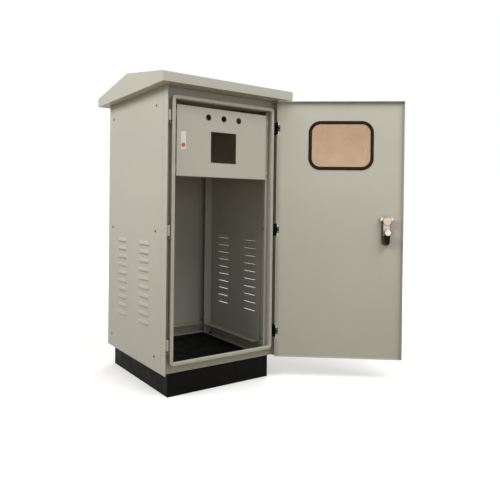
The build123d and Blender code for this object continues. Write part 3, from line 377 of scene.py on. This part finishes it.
def make_post_feet():
    """Thin plates that close the feet of the corner posts, between the walls of each post."""
    wall, foot_low, foot_high, edge = 0.0025, 0.0002, 0.0022, 0.0003
    for name in ("post_front_left", "post_front_right", "post_rear_left", "post_rear_right"):
        low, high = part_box(name)
        near = (low[0] + wall, low[1] + wall, low[2] + foot_low)
        far = (high[0] - wall, high[1] - wall, low[2] + foot_high)
        piece(name.replace("post", "foot"), lambda bm: sheet(bm, near, far, edge),
              MATERIALS["cabinet_paint"], "cabinet")


# Surroundings

WHITE = (1.0, 1.0, 1.0, 1.0)
FLOOR_SHOWN = (0.86, 0.86, 0.855, 1.0)
FLOOR_DULL = (0.25, 0.195, 0.115, 1.0)
# The floor's own glow: two distances from the middle in metres, and its strengths there
FLOOR_GLOW = (1.9, 5.0, 0.18, 0.68)
FLOOR_HALF = 12.0
FLOOR_DROP = 0.0005
WORLD_LIGHT = 0.5
# Name, place, target, size, power in watts and colour
LAMPS = (
    ("side", (-3.3, -0.4, 3.2), (-0.3, 0.0, 0.7), (1.8, 1.6), 107.0, (1.0, 0.993, 0.955)),
    ("front", (0.7, -2.6, 3.6), (0.1, -0.3, 0.9), (2.0, 1.6), 72.0, (1.0, 0.995, 0.965)),
    ("low", (-1.0, -3.4, 1.1), (0.0, 0.0, 0.5), (1.2, 0.8), 7.0, (1.0, 0.98, 0.92)),
    ("rear", (3.0, 2.6, 2.0), (0.2, 0.0, 0.8), (1.8, 1.6), 70.0, (1.0, 0.995, 0.97)),
)


def seen_directly(nodes, links):
    """1 for what the camera, a reflection or glass sees, 0 for light that falls on the object."""
    path = nodes.new("ShaderNodeLightPath")
    either = nodes.new("ShaderNodeMath")
    either.operation = "MAXIMUM"
    links.new(path.outputs["Is Camera Ray"], either.inputs[0])
    links.new(path.outputs["Is Glossy Ray"], either.inputs[1])
    seen = nodes.new("ShaderNodeMath")
    seen.operation = "MAXIMUM"
    links.new(either.outputs[0], seen.inputs[0])
    links.new(path.outputs["Is Transmission Ray"], seen.inputs[1])
    return seen.outputs[0]


def floor_material():
    """Matt floor that looks white in the open and keeps the object's shadow.

    Towards the object it is dull, so that it throws little light back up.
    """
    material = bpy.data.materials.new("floor")
    material.use_nodes = True
    nodes, links = material.node_tree.nodes, material.node_tree.links
    nodes.clear()
    place = nodes.new("ShaderNodeTexCoord")
    away = nodes.new("ShaderNodeVectorMath")
    away.operation = "LENGTH"
    links.new(place.outputs["Object"], away.inputs[0])
    glow = nodes.new("ShaderNodeMapRange")
    for socket, number in zip(RANGE_SOCKETS, FLOOR_GLOW):
        glow.inputs[socket].default_value = number
    links.new(away.outputs["Value"], glow.inputs["Value"])
    shown = nodes.new("ShaderNodeBsdfDiffuse")
    shown.inputs["Color"].default_value = FLOOR_SHOWN
    lift = nodes.new("ShaderNodeEmission")
    links.new(glow.outputs["Result"], lift.inputs["Strength"])
    both = nodes.new("ShaderNodeAddShader")
    links.new(shown.outputs[0], both.inputs[0])
    links.new(lift.outputs[0], both.inputs[1])
    dull = nodes.new("ShaderNodeBsdfDiffuse")
    dull.inputs["Color"].default_value = FLOOR_DULL
    mix = nodes.new("ShaderNodeMixShader")
    links.new(seen_directly(nodes, links), mix.inputs[0])
    links.new(dull.outputs[0], mix.inputs[1])
    links.new(both.outputs[0], mix.inputs[2])
    output = nodes.new("ShaderNodeOutputMaterial")
    links.new(mix.outputs[0], output.inputs["Surface"])
    return material


def make_floor():
    mesh = bpy.data.meshes.new("floor")
    corners = [(x * FLOOR_HALF, y * FLOOR_HALF, 0) for x, y in ((-1, -1), (1, -1), (1, 1), (-1, 1))]
    mesh.from_pydata(corners, [], [(0, 1, 2, 3)])
    floor = bpy.data.objects.new("floor", mesh)
    floor.location.z = -FLOOR_DROP
    bpy.context.scene.collection.objects.link(floor)
    mesh.materials.append(floor_material())


def make_world():
    """White to the camera, and an even light of its own strength on the object."""
    world = bpy.data.worlds.new("world")
    bpy.context.scene.world = world
    world.use_nodes = True
    nodes, links = world.node_tree.nodes, world.node_tree.links
    nodes.clear()
    level = nodes.new("ShaderNodeMapRange")
    level.inputs["To Min"].default_value = WORLD_LIGHT
    level.inputs["To Max"].default_value = 1.0
    links.new(seen_directly(nodes, links), level.inputs["Value"])
    background = nodes.new("ShaderNodeBackground")
    background.inputs["Color"].default_value = WHITE
    links.new(level.outputs["Result"], background.inputs["Strength"])
    output = nodes.new("ShaderNodeOutputWorld")
    links.new(background.outputs[0], output.inputs["Surface"])


def make_lamp(name, place, target, size, power, color):
    data = bpy.data.lights.new(name, "AREA")
    data.shape = "RECTANGLE"
    data.size, data.size_y = size
    data.energy = power
    data.color = color
    lamp = bpy.data.objects.new(name, data)
    lamp.location = place
    lamp.rotation_euler = (Vector(target) - Vector(place)).to_track_quat("-Z", "Y").to_euler()
    bpy.context.scene.collection.objects.link(lamp)


def make_surroundings():
    make_floor()
    make_world()
    for row in LAMPS:
        make_lamp(*row)


make_camera()
dress_nodes()
make_red_spot()
make_post_feet()
make_surroundings()
bpy.context.scene.view_settings.view_transform = "Standard"
